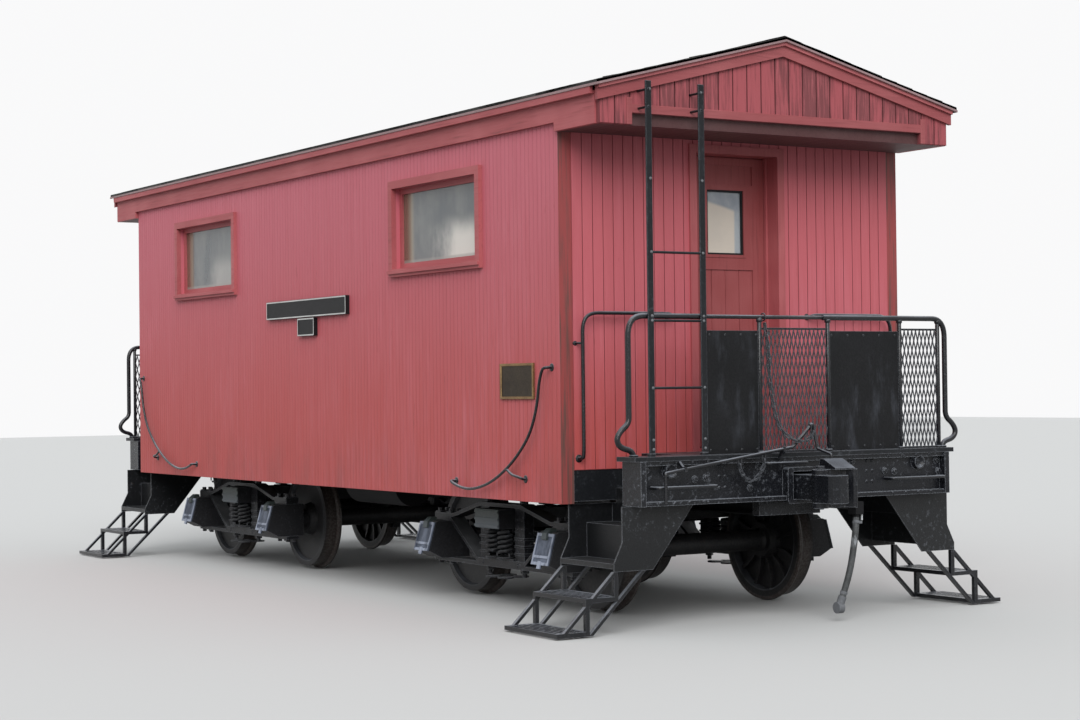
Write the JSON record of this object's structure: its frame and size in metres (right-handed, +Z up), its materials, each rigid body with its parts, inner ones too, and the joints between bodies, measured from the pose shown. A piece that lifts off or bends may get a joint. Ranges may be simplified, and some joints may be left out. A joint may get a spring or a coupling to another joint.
{
  "type": "railway caboose",
  "caption": "Wood-sided railway caboose with a gabled roof, an open platform and steps at each end, on two swivelling four-wheel trucks.",
  "frame": {"origin": "middle of the car on the floor that its wheel flanges stand on, as it parks", "axes": "+X along the car towards the end built as the near end, +Y to its left, +Z up"},
  "size_m": [10.0598, 3.75, 3.9311],
  "materials": {
    "red_boards": "barn-red paint on vertical tongue-and-groove boards, weathered",
    "red_trim": "barn-red paint on planed trim",
    "door_paint": "worn dark red paint on a plank door",
    "glass": "grey-green window glass",
    "roofing": "dark mineral shingles",
    "timber": "plain floor planks",
    "black_steel": "thick black paint, slightly glossy, over pitted steel",
    "truck_iron": "black paint and grime on cast and forged iron",
    "wheel_steel": "black painted wheel plates with worn treads",
    "rubber": "aged black rubber hose"
  },
  "bodies": {
    "carbody": {"air_hose_far": "rubber", "air_hose_near": "rubber", "bargeboards": "red_trim", "beam_grab_irons": "black_steel", "body_bolsters": "black_steel", "brake_cylinder": "black_steel", "cabin_floor": "timber", "ceilings": "red_trim", "centre_sill": "black_steel", "chains": "black_steel", "coupler_knuckles": "black_steel", "couplers": "black_steel", "cross_bearers": "black_steel", "door_casings": "red_trim", "drop_steps": "black_steel", "eave_boards": "red_trim", "end_beams": "black_steel", "end_ladders": "black_steel", "end_railings": "black_steel", "end_sills": "black_steel", "end_wall_grab_pipes": "black_steel", "end_walls": "red_boards", "gable_boards": "red_boards", "glad_hand_far": "black_steel", "glad_hand_near": "black_steel", "platform_decks": "black_steel", "railing_mesh": "black_steel", "railing_panels": "black_steel", "roof": "roofing", "side_grab_irons": "black_steel", "side_sills": "black_steel", "side_wall_left": "red_boards", "side_wall_right": "red_boards", "step_boxes": "black_steel", "train_line": "black_steel", "uncoupling_rods": "black_steel", "window_casings": "red_trim", "window_glass": "glass", "window_sashes": "red_trim"},
    "truck_near": {"truck_near_bolster": "truck_iron", "truck_near_brake_beams": "truck_iron", "truck_near_journal_boxes": "truck_iron", "truck_near_side_frames": "truck_iron", "truck_near_springs": "truck_iron"},
    "truck_far": {"truck_far_bolster": "truck_iron", "truck_far_brake_beams": "truck_iron", "truck_far_journal_boxes": "truck_iron", "truck_far_side_frames": "truck_iron", "truck_far_springs": "truck_iron"},
    "door_near": {"door_near": "door_paint", "door_glass_near": "glass"},
    "door_far": {"door_far": "door_paint", "door_glass_far": "glass"},
    "wheelset_far_inner": {"wheelset_far_inner": "wheel_steel"},
    "wheelset_far_outer": {"wheelset_far_outer": "wheel_steel"},
    "wheelset_near_inner": {"wheelset_near_inner": "wheel_steel"},
    "wheelset_near_outer": {"wheelset_near_outer": "wheel_steel"}
  },
  "joints": [
    {"name": "truck_near_swivel", "type": "hinge", "parent": "carbody", "child": "truck_near", "pos_m": [2.33, 0, 0.6803], "axis": [0, 0, 1], "range_deg": [-5, 5]},
    {"name": "wheelset_near_outer_spin", "type": "hinge", "parent": "truck_near", "child": "wheelset_near_outer", "pos_m": [3.1855, 0, 0.444], "axis": [0, 1, 0], "continuous": true},
    {"name": "wheelset_near_inner_spin", "type": "hinge", "parent": "truck_near", "child": "wheelset_near_inner", "pos_m": [1.4745, 0, 0.444], "axis": [0, 1, 0], "continuous": true},
    {"name": "door_near_swing", "type": "hinge", "parent": "carbody", "child": "door_near", "pos_m": [3.632, 0.35, 0], "axis": [0, 0, -1], "range_deg": [0, 95]},
    {"name": "truck_far_swivel", "type": "hinge", "parent": "carbody", "child": "truck_far", "pos_m": [-2.33, 0, 0.6803], "axis": [0, 0, 1], "range_deg": [-5, 5]},
    {"name": "wheelset_far_outer_spin", "type": "hinge", "parent": "truck_far", "child": "wheelset_far_outer", "pos_m": [-3.1855, 0, 0.444], "axis": [0, 1, 0], "continuous": true},
    {"name": "wheelset_far_inner_spin", "type": "hinge", "parent": "truck_far", "child": "wheelset_far_inner", "pos_m": [-1.4745, 0, 0.444], "axis": [0, 1, 0], "continuous": true},
    {"name": "door_far_swing", "type": "hinge", "parent": "carbody", "child": "door_far", "pos_m": [-3.632, -0.35, 0], "axis": [0, 0, -1], "range_deg": [0, 95]}
  ]
}
